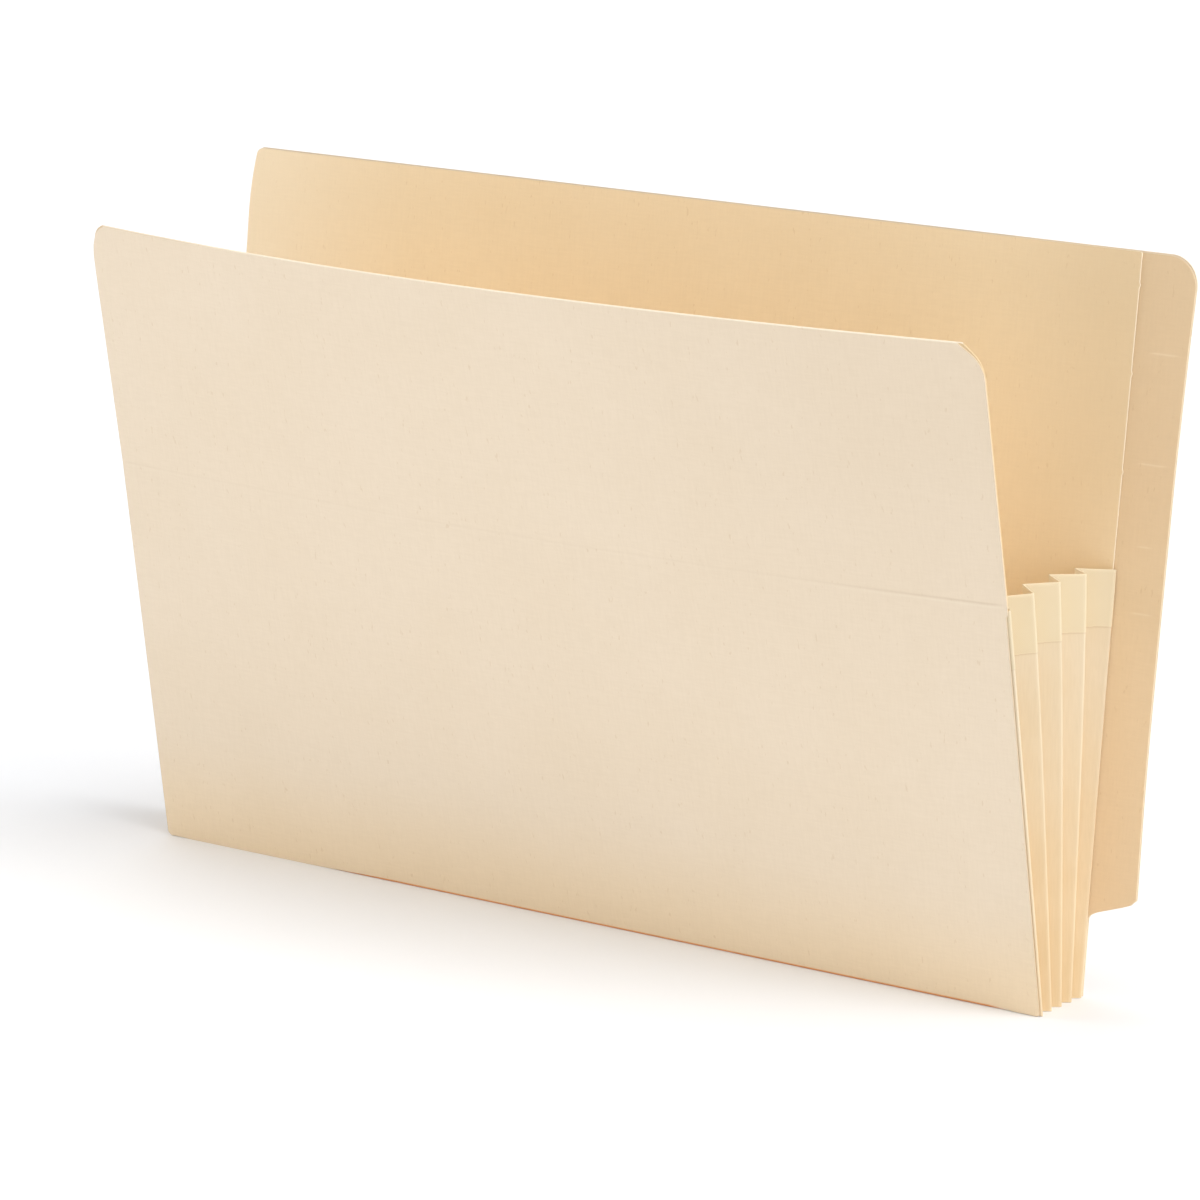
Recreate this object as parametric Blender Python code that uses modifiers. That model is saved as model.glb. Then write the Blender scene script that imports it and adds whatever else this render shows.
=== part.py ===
"""Expanding file pocket, legal size, with an end tab.

Two stiff manila panels stand open in a V. A pleated gusset closes each side up to a score line in
the front panel, and a bottom strip, tucked up along its centre crease, joins the two panels below.
Every panel that turns about a fold is a sheet of its own, with its origin on that fold.
"""
import math

import bmesh
import bpy
from mathutils import Matrix, Vector

# Driving dimensions in metres, angles in degrees.
BODY_WIDTH = 0.3683
FRONT_HEIGHT = 0.2282
BACK_HEIGHT = 0.2420
GUSSET_HEIGHT = 0.1385
SCORE_ABOVE_GUSSET = 0.0026
BOTTOM_DEPTH = 0.0260
FRONT_LEAN = 8.6
BACK_LEAN = 7.0
UPPER_LEAN = 1.4
FRONT_BOW = 0.0194
CORNER_RADIUS = 0.008
TAB_TOP_WIDTH = 0.0206
TAB_FOOT_WIDTH = 0.0172
TAB_FOOT_HEIGHT = 0.0265
TAB_FOOT_RISE = 0.0070
TAB_FOOT_RADIUS = 0.004
TAB_RADIUS = 0.012
TAB_ROOT_INSET = 0.0004
TAB_PLY_REACH = 0.050
TAB_PLY_TOP_INSET = 0.0006
BACK_EDGE_INSET = 0.0006
INNER_PLY_TOP_INSET = 0.0004
LEAF_WIDTH = 0.01313
FOLD_INSET = 0.0004
GLUE_FLAP = 0.0100
TAPE_HEIGHT = 0.0198
BOTTOM_LEAF = 0.0440
BOTTOM_INSET = 0.0120
SHEET = 0.00040
LEAF = 0.00030
TAPE = 0.00015
PLY_GAP = 0.00025
FOLD_GAP = 0.00030
FOLD_TRIM = 0.00020
FOOT_LIFT_GAP = 0.00070
LEAF_STACK_GAP = 0.00032
SPLIT_FOLD_TRIM = 0.00130
PLEATS = 4

HALF = BODY_WIDTH / 2.0
FOLD_X = HALF - FOLD_INSET
FL = math.radians(FRONT_LEAN)
BL = math.radians(BACK_LEAN)
UL = math.radians(FRONT_LEAN + UPPER_LEAN)
SCORE = GUSSET_HEIGHT + SCORE_ABOVE_GUSSET

FRONT_FOOT = Vector((0.0, -BOTTOM_DEPTH / 2.0, 0.0))
BACK_FOOT = Vector((0.0, BOTTOM_DEPTH / 2.0, 0.0))
FRONT_UP = Vector((0.0, -math.sin(FL), math.cos(FL)))
FRONT_OUT = Vector((0.0, -math.cos(FL), -math.sin(FL)))
UPPER_UP = Vector((0.0, -math.sin(UL), math.cos(UL)))
BACK_UP = Vector((0.0, math.sin(BL), math.cos(BL)))
BACK_OUT = Vector((0.0, math.cos(BL), -math.sin(BL)))

# Depth of each ply from the outer front ply, or from the inner back ply.
PLY_STEP = SHEET + PLY_GAP
FRONT_FLAP_IN = 1.5 * SHEET + 2.0 * PLY_GAP + LEAF / 2.0
FRONT_FOLD_IN = FRONT_FLAP_IN + LEAF
REAR_FLAP_IN = SHEET / 2.0 + PLY_GAP + LEAF / 2.0
REAR_FOLD_IN = REAR_FLAP_IN + LEAF


def front_point(x, s, out=0.0):
    """Point on the front panel: x across, s up the sheet, moved out along its normal, with its bow."""
    lower = min(s, SCORE)
    upper = max(s - SCORE, 0.0)
    bow = FRONT_BOW * (s / FRONT_HEIGHT) * max(0.0, 1.0 - (x / HALF) ** 2)
    p = FRONT_FOOT + FRONT_UP * lower + UPPER_UP * upper + FRONT_OUT * out
    return Vector((x, p.y - bow, p.z))


def back_point(x, s, out=0.0):
    """Point on the back panel: x across, s up the sheet, moved out along its normal."""
    p = BACK_FOOT + BACK_UP * s + BACK_OUT * out
    return Vector((x, p.y, p.z))


def round_drop(distance, radius):
    """How far a rounded corner falls below the straight edge at this distance from the side."""
    if distance >= radius:
        return 0.0
    d = max(distance, 0.0)
    return radius - math.sqrt(max(0.0, radius * radius - (radius - d) ** 2))


def stations(start, stop, radius_start, radius_stop, inner):
    """Stations from start to stop, closer together through a rounded corner at each end."""
    steps = [0.0, 0.02, 0.08, 0.18, 0.32, 0.5, 0.72, 1.0]
    first = [start + radius_start * t for t in steps] if radius_start > 0.0 else [start]
    last = [stop - radius_stop * t for t in reversed(steps)] if radius_stop > 0.0 else [stop]
    a = first[-1]
    b = last[0]
    middle = [a + (b - a) * i / inner for i in range(1, inner)]
    return first + middle + last


def sheet(name, rows, thickness, colour, pivot=None):
    """A solid sheet: a grid laid on rows of points, thickened evenly both ways by Solidify.

    The object's origin and axes are those of pivot, which sits on the sheet's own fold.
    """
    frame = pivot if pivot is not None else Matrix.Identity(4)
    across = len(rows[0])
    grid = bmesh.new()
    bmesh.ops.create_grid(grid, x_segments=across - 1, y_segments=len(rows) - 1, size=0.5)
    inverse = frame.inverted()
    grid.verts.ensure_lookup_table()
    flat = [p for row in rows for p in row]
    for vert, point in zip(grid.verts, flat):
        vert.co = inverse @ point
    mesh = bpy.data.meshes.new(name)
    grid.to_mesh(mesh)
    grid.free()
    obj = bpy.data.objects.new(name, mesh)
    obj.matrix_world = frame
    solid = obj.modifiers.new("thickness", "SOLIDIFY")
    solid.thickness = thickness
    solid.offset = 0.0
    solid.use_even_offset = True
    paint = bpy.data.materials.new(name + "_paper")
    paint.use_nodes = True
    shader = paint.node_tree.nodes["Principled BSDF"]
    shader.inputs["Base Color"].default_value = colour
    shader.inputs["Roughness"].default_value = 0.75
    mesh.materials.append(paint)
    pocket.objects.link(obj)
    return obj


def axis_frame(point, direction):
    """Frame at a point on a fold, its Z along the fold."""
    z = direction.normalized()
    helper = Vector((1.0, 0.0, 0.0)) if abs(z.x) < 0.8 else Vector((0.0, 0.0, 1.0))
    y = z.cross(helper).normalized()
    x = y.cross(z)
    turn = Matrix((x, y, z)).transposed().to_4x4()
    return Matrix.Translation(point) @ turn


def front_rows(low, high, out, radius):
    """Rows of the front panel between two heights, its top corners rounded when radius is given."""
    columns = stations(-HALF, HALF, max(radius, 0.0), max(radius, 0.0), 20)
    rows = []
    for j in range(7):
        t = j / 6.0
        row = []
        for x in columns:
            top = high - round_drop(HALF - abs(x), radius)
            row.append(front_point(x, low + (top - low) * t, out))
        rows.append(row)
    return rows


def back_rows(left, right, low, high, out):
    """Rows of the flat inner back ply, with its top left corner rounded."""
    columns = stations(left, right, CORNER_RADIUS, 0.0, 4)
    rows = []
    for j in range(3):
        t = j / 2.0
        row = []
        for x in columns:
            top = high - round_drop(x - left, CORNER_RADIUS)
            row.append(back_point(x, low + (top - low) * t, out))
        rows.append(row)
    return rows


def tab_edge(s):
    """Distance of the tab's slanting outer edge from the body's side at height s."""
    return TAB_FOOT_WIDTH + (TAB_TOP_WIDTH - TAB_FOOT_WIDTH) * s / BACK_HEIGHT


def tab_rows(left, high, out, radius_left):
    """Rows of a sheet that carries the end tab.

    It runs from the left edge to the tab's slanting outer edge, with the tab's foot cut short of the
    bottom fold, rising outward, and its outer corners rounded.
    """
    root = HALF - TAB_ROOT_INSET
    shares = [0.0, 0.05, 0.15, 0.3, 0.45, 0.6, 0.72, 0.82, 0.90, 0.96, 1.0]
    body = stations(left, root, radius_left, 0.0, 4)
    rows = []
    for j in range(5):
        t = j / 4.0
        row = []
        for x in body:
            top = high - (round_drop(x - left, radius_left) if radius_left > 0.0 else 0.0)
            low = 0.0 if left < 0.0 else TAB_FOOT_HEIGHT
            row.append(back_point(x, low + (top - low) * t, out))
        for share in shares[1:]:
            reach = TAB_FOOT_WIDTH * share
            room = TAB_FOOT_WIDTH - reach
            low = TAB_FOOT_HEIGHT + TAB_FOOT_RISE * share + round_drop(room, TAB_FOOT_RADIUS)
            top = high - round_drop(room * TAB_TOP_WIDTH / TAB_FOOT_WIDTH, TAB_RADIUS)
            s = low + (top - low) * t
            row.append(back_point(root + share * tab_edge(s), s, out))
        rows.append(row)
    return rows


for old in list(bpy.data.objects):
    bpy.data.objects.remove(old, do_unlink=True)
pocket = bpy.data.collections.new("expanding_file_pocket")
bpy.context.scene.collection.children.link(pocket)

MANILA = (0.83, 0.70, 0.51, 1.0)
MANILA_DEEP = (0.78, 0.62, 0.42, 1.0)
GUSSET = (0.86, 0.69, 0.46, 1.0)
CREAM = (0.88, 0.76, 0.50, 1.0)
ACROSS = Vector((1.0, 0.0, 0.0))

# Back panel: inner ply, tab ply and tab sheet, stacked from the inside out.
sheet("back_inner_ply", back_rows(-HALF, HALF - BACK_EDGE_INSET, 0.0, BACK_HEIGHT, 0.0), SHEET, MANILA_DEEP)
TAB_PLY_TOP = BACK_HEIGHT - TAB_PLY_TOP_INSET
sheet("tab_stiffening_ply", tab_rows(HALF - TAB_PLY_REACH, TAB_PLY_TOP, PLY_STEP, 0.0), SHEET, MANILA)
sheet("back_tab_sheet", tab_rows(-HALF, BACK_HEIGHT, 2.0 * PLY_STEP, CORNER_RADIUS), SHEET, MANILA)

# Gusset fan: every fold of one side runs through one apex below the pocket.
FOLD_A = FRONT_FOOT - FRONT_OUT * FRONT_FOLD_IN
FOLD_B = BACK_FOOT - BACK_OUT * REAR_FOLD_IN
CROSS = FRONT_UP.y * BACK_UP.z - FRONT_UP.z * BACK_UP.y
GAP = FOLD_B - FOLD_A
APEX = FOLD_A + FRONT_UP * ((GAP.y * BACK_UP.z - GAP.z * BACK_UP.y) / CROSS)
R_LOW = (FOOT_LIFT_GAP - APEX.z) / math.cos(max(FL, BL))
R_HIGH = R_LOW + GUSSET_HEIGHT
STEP = (FL + BL) / PLEATS
LEAF_ANGLE = max(LEAF_WIDTH / R_HIGH, STEP * 0.56)
VALLEY_ANGLE = math.acos(math.cos(LEAF_ANGLE) / math.cos(STEP / 2.0))
STACK_ANGLE = LEAF_STACK_GAP / R_LOW

# Bottom strip: two leaves tucked up along the centre crease, on folds as far from the apex as the gusset.
REAR_FOLD = APEX + BACK_UP * R_LOW + BACK_OUT * FOLD_TRIM
FRONT_FOLD = APEX + FRONT_UP * R_LOW + FRONT_OUT * FOLD_TRIM
CHORD = FRONT_FOLD - REAR_FOLD
BOTTOM_SPAN = max(BOTTOM_LEAF, CHORD.length * 0.52)
RISE = math.sqrt(BOTTOM_SPAN ** 2 - (CHORD.length / 2.0) ** 2)
CREST = REAR_FOLD + CHORD * 0.5 + ACROSS.cross(-CHORD).normalized() * RISE
BOTTOM_HALF = HALF - BOTTOM_INSET


def strip_rows(foot, crest, side):
    """Rows of one bottom leaf from its fold to just below the crest, set to one side of the crease."""
    along = (crest - foot).normalized()
    normal = ACROSS.cross(along).normalized()
    if normal.y * side < 0.0:
        normal = -normal
    low = foot + along * FOLD_TRIM
    high = crest - along * FOLD_TRIM + normal * (SHEET / 2.0 + FOLD_GAP / 2.0)
    rows = []
    for j in range(2):
        p = low + (high - low) * j
        rows.append([Vector((x, p.y, p.z)) for x in (-BOTTOM_HALF, 0.0, BOTTOM_HALF)])
    return rows


REAR_PIVOT = axis_frame(REAR_FOLD, ACROSS)
CREST_PIVOT = axis_frame(CREST, ACROSS)
sheet("bottom_rear_leaf", strip_rows(REAR_FOLD, CREST, 1.0), SHEET, MANILA_DEEP, REAR_PIVOT)
sheet("bottom_front_leaf", strip_rows(FRONT_FOLD, CREST, -1.0), SHEET, MANILA_DEEP, CREST_PIVOT)

# Front panel: two plies, each in a part below the score and a part above it.
FRONT_PIVOT = axis_frame(FRONT_FOLD, ACROSS)
SCORE_PIVOT = axis_frame(front_point(0.0, SCORE, SHEET / 2.0 + FOLD_TRIM), ACROSS)
LOW_TOP = SCORE - FOLD_GAP / 2.0
HIGH_FOOT = SCORE + FOLD_GAP / 2.0
INNER_TOP = FRONT_HEIGHT - INNER_PLY_TOP_INSET
LOWER_OUTER = front_rows(0.0, LOW_TOP, 0.0, 0.0)
LOWER_INNER = front_rows(0.0, LOW_TOP, -PLY_STEP, 0.0)
UPPER_OUTER = front_rows(HIGH_FOOT, FRONT_HEIGHT, 0.0, CORNER_RADIUS)
UPPER_INNER = front_rows(HIGH_FOOT, INNER_TOP, -PLY_STEP, CORNER_RADIUS)
sheet("front_lower_outer_ply", LOWER_OUTER, SHEET, MANILA, FRONT_PIVOT)
sheet("front_lower_inner_ply", LOWER_INNER, SHEET, MANILA_DEEP, FRONT_PIVOT)
sheet("front_upper_outer_ply", UPPER_OUTER, SHEET, MANILA, SCORE_PIVOT)
sheet("front_upper_inner_ply", UPPER_INNER, SHEET, MANILA_DEEP, SCORE_PIVOT)

def mountain(k):
    """Direction of the outer fold k, counted from the front."""
    turn = -FL + STEP * k
    return Vector((0.0, math.sin(turn), math.cos(turn)))


def valley(k, side):
    """Direction of the inner fold between the outer folds k - 1 and k."""
    turn = -FL + STEP * (k - 0.5)
    c = math.cos(VALLEY_ANGLE)
    return Vector((-side * math.sin(VALLEY_ANGLE), c * math.sin(turn), c * math.cos(turn)))


def leaf_lines(number, side):
    """Front and rear fold directions of one gusset leaf, numbered from 0 at the front."""
    k = number // 2
    if number % 2 == 0:
        return mountain(k), valley(k + 1, side)
    return valley(k + 1, side), mountain(k + 1)


def leaf_rows(number, side, low, high, lift, trim_front, trim_rear):
    """Rows of a flat leaf between two distances from the apex, lifted along its normal.

    Its front edge stands one stack step behind its front fold and its rear edge one step before its
    rear fold, so the closed leaves lie side by side.
    """
    apex = Vector((side * FOLD_X, APEX.y, APEX.z))
    front, rear = leaf_lines(number, side)
    normal = front.cross(rear).normalized()
    if normal.y < 0.0:
        normal = -normal
    front = front + normal * STACK_ANGLE
    rear = rear - normal * STACK_ANGLE
    rows = []
    for r in (low, high):
        a = apex + front * r
        b = apex + rear * r
        along = (b - a).normalized()
        rows.append([a + along * trim_front + normal * lift, b - along * trim_rear + normal * lift])
    return rows


SPLIT_VALLEY = PLEATS // 2
for side, label in ((1.0, "right"), (-1.0, "left")):
    inner = side * (FOLD_X - GLUE_FLAP)
    outer = side * (FOLD_X - FOLD_TRIM)
    spots = [inner + (outer - inner) * i / 3.0 for i in range(4)]
    levels = [FOOT_LIFT_GAP + GUSSET_HEIGHT * j / 3.0 for j in range(4)]
    flap = [[front_point(x, s, -FRONT_FLAP_IN) for x in spots] for s in levels]
    sheet(label + "_front_glue_flap", flap, LEAF, GUSSET, FRONT_PIVOT)
    flap = [[back_point(x, s, -REAR_FLAP_IN) for x in (inner, outer)] for s in (levels[0], levels[-1])]
    sheet(label + "_rear_glue_flap", flap, LEAF, GUSSET)
    apex = Vector((side * FOLD_X, APEX.y, APEX.z))
    for number in range(2 * PLEATS):
        front, rear = leaf_lines(number, side)
        from_front = number < 2 * SPLIT_VALLEY - 1
        line = front if from_front else rear
        pivot = axis_frame(apex + line * R_LOW, line)
        split_rear = number == 2 * SPLIT_VALLEY - 2
        split_front = number == 2 * SPLIT_VALLEY - 1
        trim_front = SPLIT_FOLD_TRIM if split_front else FOLD_TRIM
        trim_rear = SPLIT_FOLD_TRIM if split_rear else FOLD_TRIM
        count = str(number + 1)
        rows = leaf_rows(number, side, R_LOW, R_HIGH, 0.0, trim_front, trim_rear)
        sheet(label + "_gusset_leaf_" + count, rows, LEAF, GUSSET, pivot)
        outward = 1.0 if number % 2 == 0 else -1.0
        lift = outward * (LEAF / 2.0 + PLY_GAP + TAPE / 2.0)
        band = R_HIGH - TAPE_HEIGHT
        rows = leaf_rows(number, side, band, R_HIGH, lift, trim_front + FOLD_TRIM, trim_rear + FOLD_TRIM)
        sheet(label + "_gusset_tape_" + count, rows, TAPE, CREAM, pivot)

# The origin sits under the middle of the whole pocket, on the surface it stands on.
bpy.context.view_layer.update()
graph = bpy.context.evaluated_depsgraph_get()
corners = []
for obj in pocket.objects:
    shaped = obj.evaluated_get(graph)
    mesh = shaped.to_mesh()
    corners.extend(obj.matrix_world @ v.co for v in mesh.vertices)
    shaped.to_mesh_clear()
lows = [min(c[i] for c in corners) for i in range(3)]
highs = [max(c[i] for c in corners) for i in range(3)]
shift = Vector((-(lows[0] + highs[0]) / 2.0, -(lows[1] + highs[1]) / 2.0, -lows[2]))
for obj in pocket.objects:
    obj.matrix_world = Matrix.Translation(shift) @ obj.matrix_world
bpy.context.view_layer.update()
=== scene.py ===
"""Looks of an expanding file pocket in manila card, laid out as a Blender add-on and run as a script.

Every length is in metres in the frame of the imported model: x runs along the pocket, y from the front
panel to the back panel, z up from the floor. Heights on a panel are measured up its own face from the foot.
"""

from math import cos, radians, sin, tan

import bpy
import numpy as np
from mathutils import Matrix, Vector


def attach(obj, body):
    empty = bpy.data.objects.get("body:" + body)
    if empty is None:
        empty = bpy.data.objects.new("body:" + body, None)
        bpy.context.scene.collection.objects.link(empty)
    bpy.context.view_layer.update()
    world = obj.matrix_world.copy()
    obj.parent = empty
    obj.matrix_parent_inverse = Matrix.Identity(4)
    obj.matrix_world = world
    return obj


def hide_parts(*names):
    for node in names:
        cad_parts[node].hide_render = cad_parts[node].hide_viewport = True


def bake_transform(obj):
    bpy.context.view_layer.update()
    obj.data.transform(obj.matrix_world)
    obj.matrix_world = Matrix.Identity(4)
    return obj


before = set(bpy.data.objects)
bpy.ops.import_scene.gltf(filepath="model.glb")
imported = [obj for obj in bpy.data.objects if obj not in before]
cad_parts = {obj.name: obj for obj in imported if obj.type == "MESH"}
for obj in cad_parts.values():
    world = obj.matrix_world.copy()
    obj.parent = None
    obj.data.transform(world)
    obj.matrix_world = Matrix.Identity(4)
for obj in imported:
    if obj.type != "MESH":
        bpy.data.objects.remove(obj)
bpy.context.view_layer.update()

bl_info = {
    "name": "Expanding file pocket",
    "version": (1, 0, 0),
    "blender": (4, 5, 0),
    "location": "3D View > Sidebar > File pocket",
    "description": "Builds the card sheets, pleated gussets and tapes of an expanding file pocket",
    "category": "Add Mesh",
}

# Side of the photograph's frame in pixels, and width of the camera's sensor in millimetres.
PHOTO_SIDE, SENSOR = 1200.0, 36.0

# Middle of the pocket's foot in the frame, and how far behind and below it the folds of a side meet.
FOOT = np.array([-0.00999219, 0.01241823, 0.0001828])
FAN_BEHIND, FAN_BELOW = 0.0015518, 0.0858535
# Height at which the gussets' papers end above the floor.
FLOOR_GAP = 0.00015
PLEATS = 4
SIDES = {"right": 1.0, "left": -1.0}


def to_linear(code):
    """Linear colour of an sRGB hex value: the sRGB curve undone channel by channel."""
    value = np.array([int(code[i:i + 2], 16) for i in (1, 3, 5)]) / 255.0
    line = np.where(value <= 0.04045, value / 12.92, ((value + 0.055) / 1.055) ** 2.4)
    return tuple(float(channel) for channel in line)


def length(name, description, default):
    return bpy.props.FloatProperty(
        name=name, description=description, default=default, unit="LENGTH", precision=5)


def turn(name, description, degrees):
    return bpy.props.FloatProperty(
        name=name, description=description, default=radians(degrees), unit="ROTATION", precision=4)


def colour(name, description, code):
    return bpy.props.FloatVectorProperty(
        name=name, description=description, default=to_linear(code), size=3, subtype="COLOR", min=0, max=1)


def lamp_power(name, description, default):
    return bpy.props.FloatProperty(name=name, description=description, default=default, min=0.0)


class PocketSizes(bpy.types.PropertyGroup):
    """Sizes of the card sheets and of the folded sides"""

    body_width: length("Body width", "Width of the front and back panels", 0.3683)
    front_height: length("Front height", "Height of the front panel up its own face", 0.2282)
    back_height: length("Back height", "Height of the back panel up its own face", 0.2420)
    gusset_height: length("Gusset height", "Height of the pleated sides", 0.1385)
    score_height: length("Score height", "Height of the fold score across the front panel", 0.1411)
    foot_depth: length("Foot depth", "Distance between the feet of the panels", 0.0260)
    front_lean: turn("Front lean", "How far the front panel leans out", 8.6)
    front_twist: turn("Front twist", "Extra lean of the right edge, taken off the left edge", 0.66)
    upper_lean: turn("Upper lean", "Extra lean of the front panel above the score", 1.4)
    back_lean: turn("Back lean", "How far the back panel leans out", 7.0)
    front_bow: length("Front bow", "How far the middle of the front panel's top bows out", 0.0194)
    sheet: length("Card thickness", "Thickness of one ply of manila card", 0.0004)
    ply_step: length("Ply step", "Distance between the middles of two plies of the back", 0.00065)
    front_step: length("Front ply step", "Distance between the middles of the front's plies", 0.00042)
    leaf: length("Gusset thickness", "Thickness of the gusset paper", 0.0003)
    tape: length("Tape thickness", "Thickness of the reinforcing tape", 0.00011)
    tape_height: length("Tape height", "How far the tape reaches down the first leaf", 0.0192)
    flap: length("Glue flap", "Width of the gusset's glue flaps", 0.0100)
    fold_inset: length("Fold inset", "How far the gusset's outer folds stand inside the panels' ends", 0.0004)
    fold_sag: length("Fold sag", "How far the tops of the free outer folds sink inwards", 0.0016)
    leaf_turn: turn("Leaf angle", "Angle of one gusset leaf about the point where its folds meet", 3.32818)
    fan_low: length("Fan start", "Distance of the gusset's foot from the point where its folds meet", 0.087538)
    strip_inset: length("Bottom inset", "How far the bottom strip stops short of the panel's ends", 0.0115)


class PocketColours(bpy.types.PropertyGroup):
    """Colours of the papers and of the stage"""

    outside: colour("Card outside", "Manila card on the outside of the pocket", "#F2E1C9")
    inside: colour("Card inside", "Manila card inside the pocket", "#FDE7C1")
    tab: colour("Tab card", "Manila card of the ply that stiffens the tab", "#F1D8B3")
    gusset: colour("Gusset paper", "Paper of the pleated sides", "#DECAAA")
    tape: colour("Tape", "Woven reinforcing tape", "#DECEAF")
    # The cut colour is also the colour of painted highlights and painted light.
    cut: colour("Cut edge", "Bare fibre at cut edges and worn folds", "#FDF1DC")
    floor: colour("Floor", "Studio floor", "#F4F5F7")


class PocketStage(bpy.types.PropertyGroup):
    """Camera and lamps"""

    bearing: turn("Camera bearing", "Camera's turn from the front towards the right", 37.01)
    rise: turn("Camera rise", "Camera's height above the level", 13.38)
    roll: turn("Camera roll", "Camera's turn about its own axis", -0.28)
    distance: length("Camera distance", "Distance from the camera to the point it looks at", 1.97377)
    focal: bpy.props.FloatProperty(
        name="Focal pixels", description="Focal length in pixels of the 1200 pixel frame", default=5881.44)
    top: lamp_power("Top lamp", "Strength of the lamp overhead", 1.24)
    high_right: lamp_power("High right lamp", "Strength of the lamp above the right end", 1.22)
    right: lamp_power("Right lamp", "Strength of the lamp at the right end", 1.10)
    left: lamp_power("Left lamp", "Strength of the low lamp at the left end", 1.32)
    front_right: lamp_power("Front right lamp", "Strength of the low lamp at the front right", 0.725)
    rear: lamp_power("Rear lamp", "Strength of the high lamp at the rear left", 0.465)
    ambient: lamp_power("Ambient", "Strength of the sky", 0.145)


# ---------------------------------------------------------------------------------------------- surfaces


def smooth(value, start, end):
    """Smooth step: nought before start, one after end, and the cubic 3t^2 - 2t^3 between them."""
    share = np.clip((value - start) / (end - start), 0.0, 1.0)
    return share * share * (3.0 - 2.0 * share)


def bell(value, middle, width):
    """Bell curve of height one about middle, fallen to 1/e one width away."""
    return np.exp(-((value - middle) / width) ** 2)


def corner_in(height, top, radius):
    """How far a side edge runs in at a rounded top corner: a quarter circle below top."""
    rise = np.clip(height - (top - radius), 0.0, radius)
    return radius - np.sqrt(np.maximum(radius ** 2 - rise ** 2, 0.0))


def foot_in(height, radius):
    """The same quarter circle at a foot corner."""
    return corner_in(radius - np.minimum(height, radius), radius, radius)


# How much shorter than its full height the front stands above the score: everywhere, and more at the right end.
FRONT_SHORT, FRONT_SHORT_RIGHT = 0.0002, 0.0006
# Share of the right edge's twist that the left edge has, so that the pleats behind it can close.
LEFT_TWIST = 0.7


def front_point(size, x, height, depth):
    """Front panel: a plane that leans out, leans a little more above the score and more to the right than to
    the left. A parabola across the width that grows with the height bows it out; above the score the right half
    is a little shorter, by a parabola of x. Depth steps into the pocket."""
    half = size.body_width / 2
    lower = np.minimum(height, size.score_height)
    upper = np.maximum(height - size.score_height, 0.0)
    short = FRONT_SHORT + FRONT_SHORT_RIGHT * (np.maximum(x, 0.0) / half) ** 2
    upper = upper * (1.0 - short / (size.front_height - size.score_height))
    lean, tipped = size.front_lean, size.front_lean + size.upper_lean
    bow = size.front_bow * height / size.front_height * np.maximum(0.0, 1.0 - (x / half) ** 2)
    twist = height * tan(size.front_twist) * np.where(x > 0.0, x, LEFT_TWIST * x) / half
    y = -size.foot_depth / 2 - lower * sin(lean) - upper * sin(tipped) + depth * cos(lean) - bow - twist
    z = lower * cos(lean) + upper * cos(tipped) + depth * sin(lean)
    return np.stack(np.broadcast_arrays(x, y, z), -1) + FOOT


def back_point(size, x, height, depth):
    """Back panel: a plane that leans back. Depth steps into the pocket, towards the front."""
    y = size.foot_depth / 2 + height * sin(size.back_lean) - depth * cos(size.back_lean)
    z = height * cos(size.back_lean) + depth * sin(size.back_lean)
    return np.stack(np.broadcast_arrays(x, y, z), -1) + FOOT


# Width of the narrow step inside each side edge of a ply, and of the narrow rows at its top and foot.
RIM = 0.0003


def across(left, right, count):
    """Columns from the left edge to the right edge of each row: even steps, with one narrow step inside each edge
    so that the edge's own colour stays at the edge."""
    width = float(np.max(right - left))
    share = np.concatenate([[0.0], np.linspace(RIM / width, 1.0 - RIM / width, count), [1.0]])
    return left[:, None] * (1.0 - share) + right[:, None] * share


def rim_of(rows, columns):
    """One along the border of a grid and nought inside it."""
    mark = np.zeros((rows, columns))
    mark[0], mark[-1], mark[:, 0], mark[:, -1] = 1.0, 1.0, 1.0, 1.0
    return mark


def grid_faces(rows, columns, first):
    """Quads of a grid of points that are numbered row by row from first."""
    index = first + np.arange(rows * columns).reshape(rows, columns)
    quads = [index[:-1, :-1], index[:-1, 1:], index[1:, 1:], index[1:, :-1]]
    return np.stack(quads, -1).reshape(-1, 4)


# Edges that turn by more than this stay sharp.
SHARP_EDGE = radians(35.0)


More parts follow.
